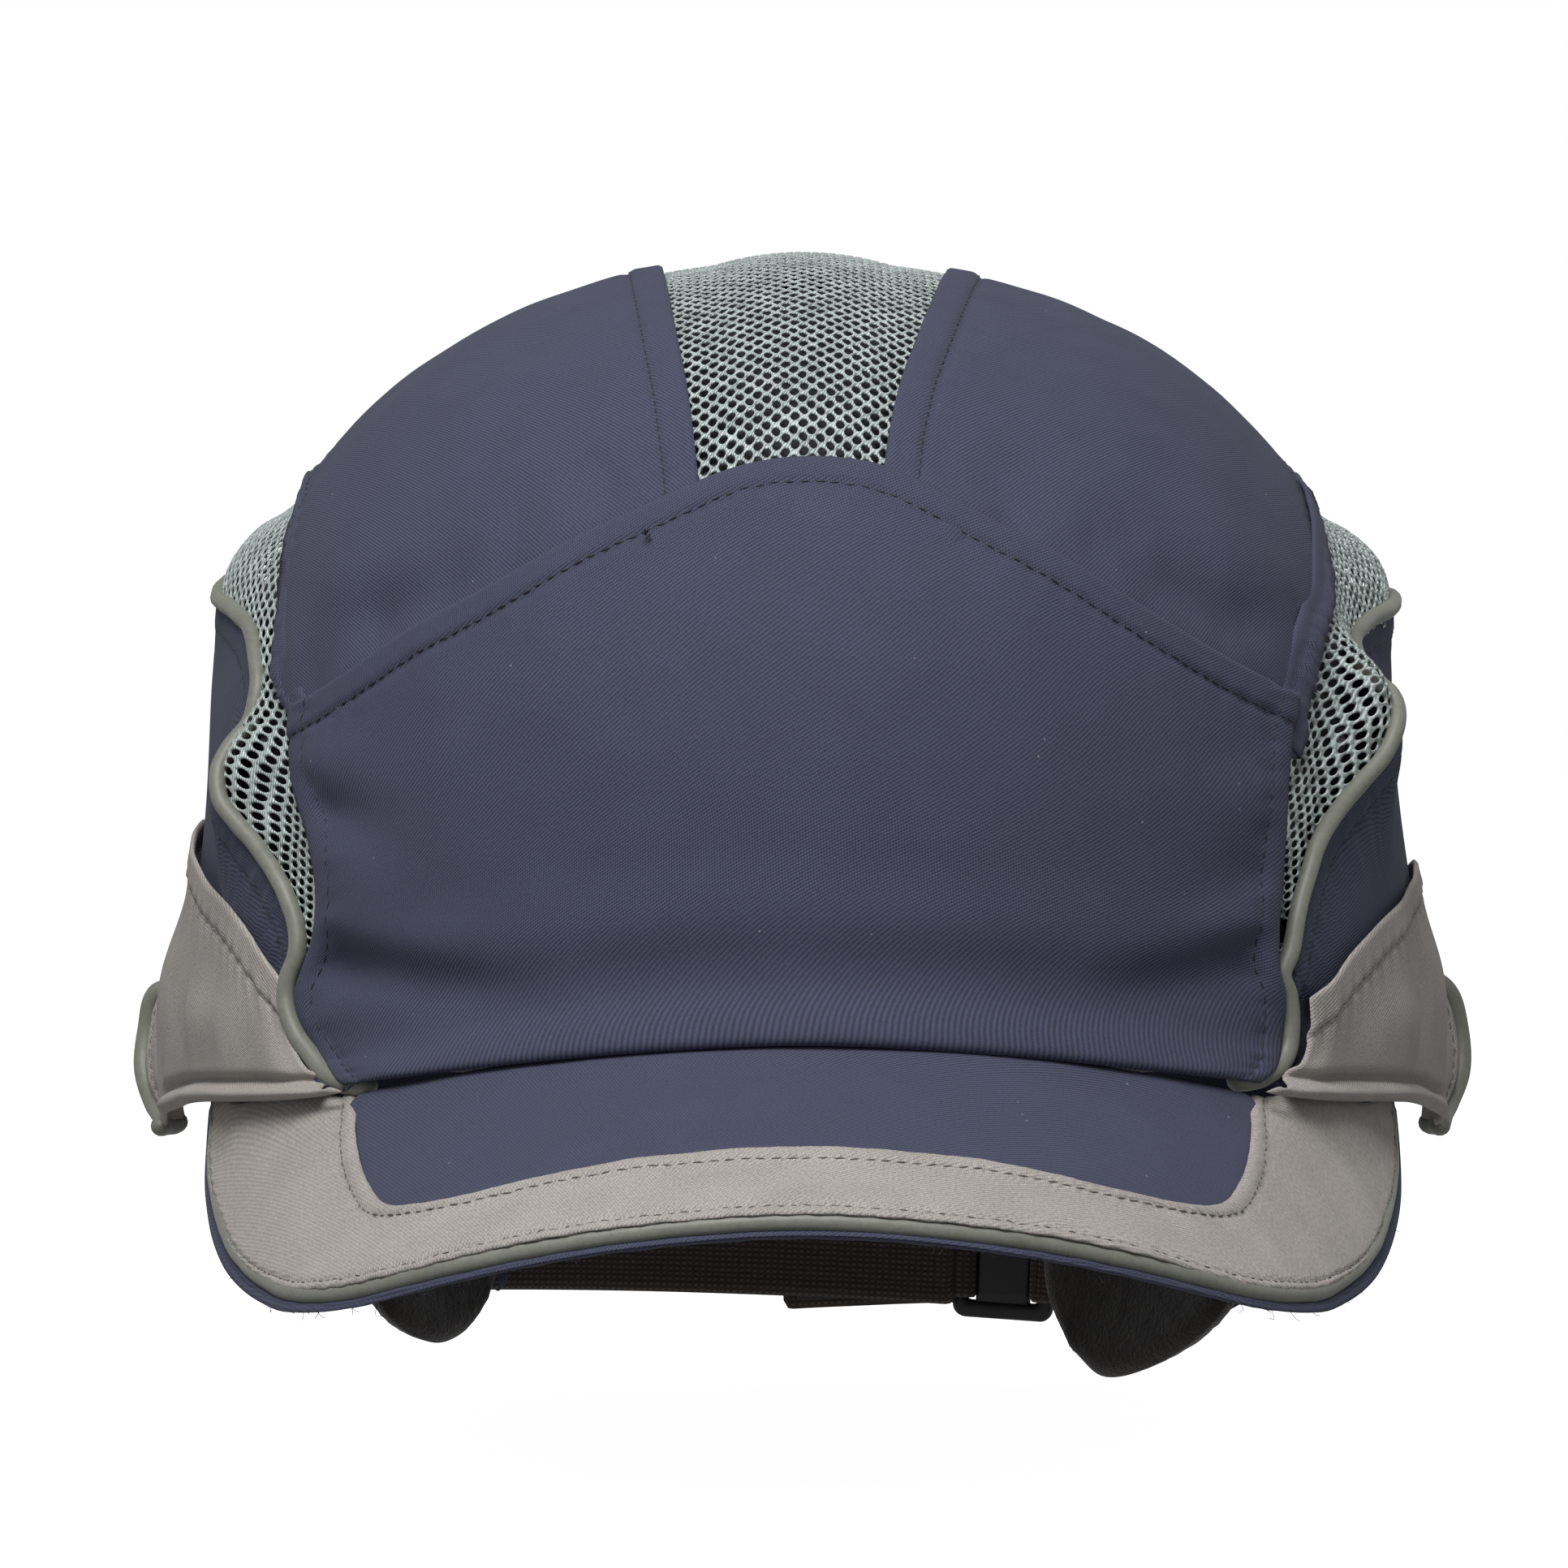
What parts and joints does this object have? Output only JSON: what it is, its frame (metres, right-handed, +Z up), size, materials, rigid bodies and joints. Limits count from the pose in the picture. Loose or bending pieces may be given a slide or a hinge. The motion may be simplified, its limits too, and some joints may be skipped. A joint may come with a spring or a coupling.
{
  "type": "bump cap",
  "caption": "Short-peak fabric bump cap with mesh windows, piped side panels, a vented inner shell and a hook-and-loop adjuster strap through a ring at the back.",
  "frame": {"origin": "centre of the head opening, level with the middle of the peak's seam", "axes": "+X to the wearer's left, -Y forward along the peak, +Z up"},
  "size_m": [0.2042, 0.2833, 0.1825],
  "materials": {
    "navy_twill": "fine twill weave, matt",
    "grey_twill": "fine twill weave, matt",
    "piping": "satin grey-green reflective piping",
    "mesh_net": "open knitted net, slightly glossy yarn",
    "black_webbing": "woven webbing",
    "dark_terry": "short terry nap",
    "hook_loop": "hook and loop pile",
    "shell_plastic": "satin moulded",
    "board_plastic": "satin sheet",
    "ring_plastic": "satin moulded",
    "pad_foam": "closed-cell foam, matt",
    "label_white": "smooth woven tape, blank"
  },
  "bodies": {
    "cap": {"front_panel": "navy_twill", "rear_panel": "navy_twill", "crown_panel_left": "navy_twill", "crown_panel_right": "navy_twill", "crown_mesh": "mesh_net", "side_mesh_left": "mesh_net", "side_mesh_right": "mesh_net", "lower_side_panel_left": "navy_twill", "lower_side_panel_right": "navy_twill", "grey_side_panel_left": "grey_twill", "grey_side_panel_right": "grey_twill", "side_piping_left": "piping", "side_piping_right": "piping", "tab_piping_left": "piping", "tab_piping_right": "piping", "rear_opening_binding": "navy_twill", "rear_pad_left": "dark_terry", "rear_pad_right": "dark_terry", "protective_shell": "shell_plastic", "comfort_pad_front": "pad_foam", "comfort_pad_rear": "pad_foam", "comfort_pad_left": "pad_foam", "comfort_pad_right": "pad_foam", "comfort_pad_crown": "pad_foam", "sweatband": "dark_terry", "sweatband_foam": "pad_foam", "care_label": "label_white", "peak_board": "board_plastic", "peak_lining": "navy_twill", "peak_top_centre": "navy_twill", "peak_top_border": "grey_twill", "peak_piping": "piping", "peak_binding": "navy_twill", "strap_run": "black_webbing", "loop_patch": "hook_loop", "ring_tab": "black_webbing", "bartacks": "black_webbing"},
    "ring": {"buckle_ring": "ring_plastic", "strap_turn": "black_webbing"},
    "strap_end": {"strap_lap": "black_webbing"},
    "tail": {"strap_tail": "black_webbing", "hook_patch": "hook_loop"}
  },
  "joints": [
    {"name": "buckle_swivel", "type": "hinge", "parent": "cap", "child": "ring", "pos_m": [0.04111, 0.10403, -0.0443], "axis": [-0.0436, 0, -0.999], "range_deg": [0, 15]},
    {"name": "strap_peel", "type": "hinge", "parent": "ring", "child": "strap_end", "pos_m": [0.02761, 0.11315, -0.04371], "axis": [-0.0436, 0, -0.999], "range_deg": [0, 90]},
    {"name": "strap_pull", "type": "hinge", "parent": "strap_end", "child": "tail", "pos_m": [0, 0.0276, -0.0425], "axis": [0.0436, 0, 0.999], "range_deg": [0, 10]}
  ]
}
